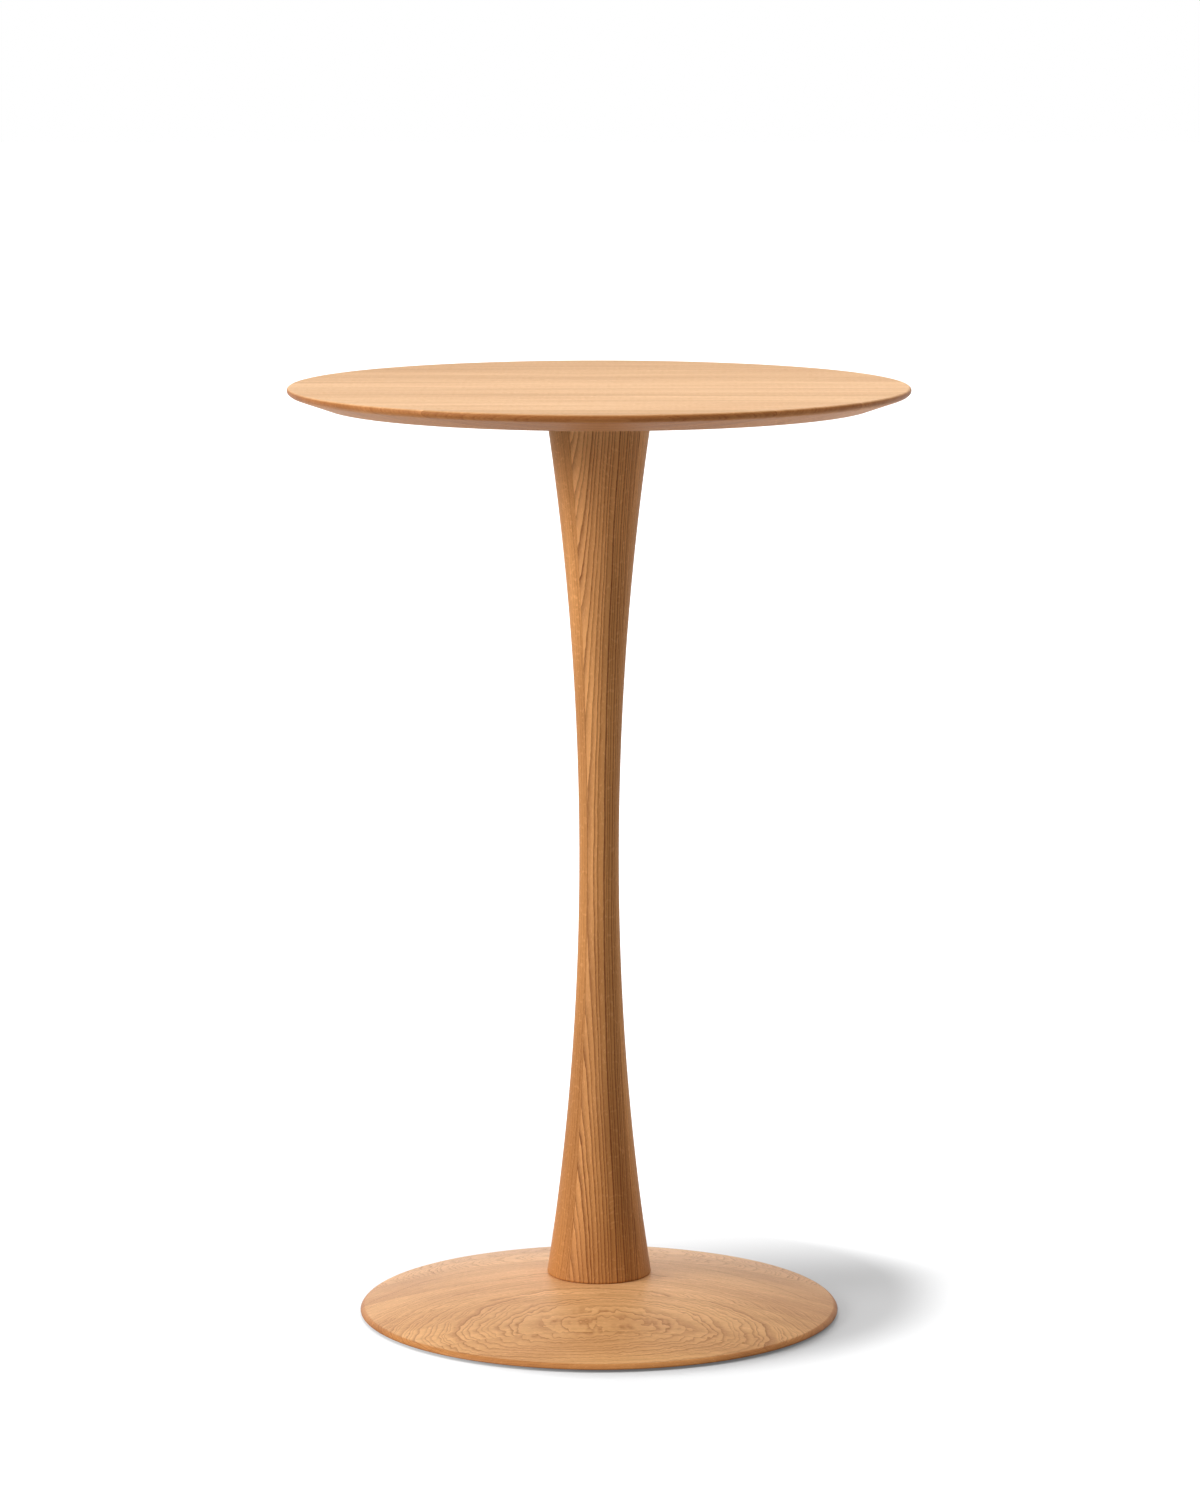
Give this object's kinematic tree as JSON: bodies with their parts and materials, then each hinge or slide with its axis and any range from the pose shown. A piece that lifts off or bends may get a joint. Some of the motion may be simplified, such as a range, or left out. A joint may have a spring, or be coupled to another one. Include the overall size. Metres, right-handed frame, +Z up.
{
  "type": "bar table",
  "caption": "Round wooden bar table: board top with an undercut rim on a turned hourglass column and a wide, shallow domed foot that stands on levelling feet.",
  "frame": {"origin": "on the floor, on the column's axis", "axes": "+Z up; X along the boards of the top and foot; -Y towards the picture's camera"},
  "size_m": [0.6898, 0.69, 1.05],
  "materials": {
    "top_wood": "straight-grained pale wood under satin lacquer",
    "column_wood": "turned wood, growth rings along the column, satin lacquer",
    "foot_wood": "flat-sawn wood with looped rings, satin lacquer",
    "dowel_wood": "unfinished dowel",
    "black_steel": "black powder coat, fine texture",
    "zinc_steel": "bright zinc plate",
    "brass": "turned brass",
    "pad_nylon": "moulded nylon"
  },
  "bodies": {
    "table": {"top_board_1": "top_wood", "top_board_2": "top_wood", "top_board_3": "top_wood", "top_board_4": "top_wood", "top_board_5": "top_wood", "top_board_6": "top_wood", "top_board_7": "top_wood", "top_board_8": "top_wood", "top_board_9": "top_wood", "column_stave_front": "column_wood", "column_stave_right": "column_wood", "column_stave_back": "column_wood", "column_stave_left": "column_wood", "base_board_1": "foot_wood", "base_board_2": "foot_wood", "base_board_3": "foot_wood", "base_board_4": "foot_wood", "base_board_5": "foot_wood", "base_board_6": "foot_wood", "base_board_7": "foot_wood", "top_plate": "black_steel", "top_plate_hub": "black_steel", "top_inserts": "brass", "top_plate_screws": "zinc_steel", "top_plate_washers": "zinc_steel", "top_pins": "zinc_steel", "tie_rod": "zinc_steel", "clamp_washer": "zinc_steel", "spring_washer": "zinc_steel", "tie_nut": "zinc_steel", "foot_dowels": "dowel_wood", "ballast_plate": "black_steel", "ballast_screws": "zinc_steel", "foot_inserts": "brass"},
    "pad_front_left": {"leveller_pad_front_left": "pad_nylon"},
    "stem_front_left": {"leveller_stem_front_left": "zinc_steel"},
    "pad_front_right": {"leveller_pad_front_right": "pad_nylon"},
    "stem_front_right": {"leveller_stem_front_right": "zinc_steel"},
    "pad_back_left": {"leveller_pad_back_left": "pad_nylon"},
    "stem_back_left": {"leveller_stem_back_left": "zinc_steel"},
    "pad_back_right": {"leveller_pad_back_right": "pad_nylon"},
    "stem_back_right": {"leveller_stem_back_right": "zinc_steel"}
  },
  "joints": [
    {"name": "level_front_left", "type": "slide", "parent": "table", "child": "pad_front_left", "axis": [0, 0, -1], "range_m": [0, 0.005]},
    {"name": "screw_front_left", "type": "hinge", "parent": "pad_front_left", "child": "stem_front_left", "pos_m": [-0.14991, -0.14991, 0], "axis": [0, 0, -1], "range_deg": [0, 1440]},
    {"name": "level_front_right", "type": "slide", "parent": "table", "child": "pad_front_right", "axis": [0, 0, -1], "range_m": [0, 0.005]},
    {"name": "screw_front_right", "type": "hinge", "parent": "pad_front_right", "child": "stem_front_right", "pos_m": [0.14991, -0.14991, 0], "axis": [0, 0, -1], "range_deg": [0, 1440]},
    {"name": "level_back_left", "type": "slide", "parent": "table", "child": "pad_back_left", "axis": [0, 0, -1], "range_m": [0, 0.005]},
    {"name": "screw_back_left", "type": "hinge", "parent": "pad_back_left", "child": "stem_back_left", "pos_m": [-0.14991, 0.14991, 0], "axis": [0, 0, -1], "range_deg": [0, 1440]},
    {"name": "level_back_right", "type": "slide", "parent": "table", "child": "pad_back_right", "axis": [0, 0, -1], "range_m": [0, 0.005]},
    {"name": "screw_back_right", "type": "hinge", "parent": "pad_back_right", "child": "stem_back_right", "pos_m": [0.14991, 0.14991, 0], "axis": [0, 0, -1], "range_deg": [0, 1440]}
  ],
  "couplings": [
    {"joint": "screw_front_left", "follows": "level_front_left", "rad_per_m": 5026.5},
    {"joint": "screw_front_right", "follows": "level_front_right", "rad_per_m": 5026.5},
    {"joint": "screw_back_left", "follows": "level_back_left", "rad_per_m": 5026.5},
    {"joint": "screw_back_right", "follows": "level_back_right", "rad_per_m": 5026.5}
  ]
}
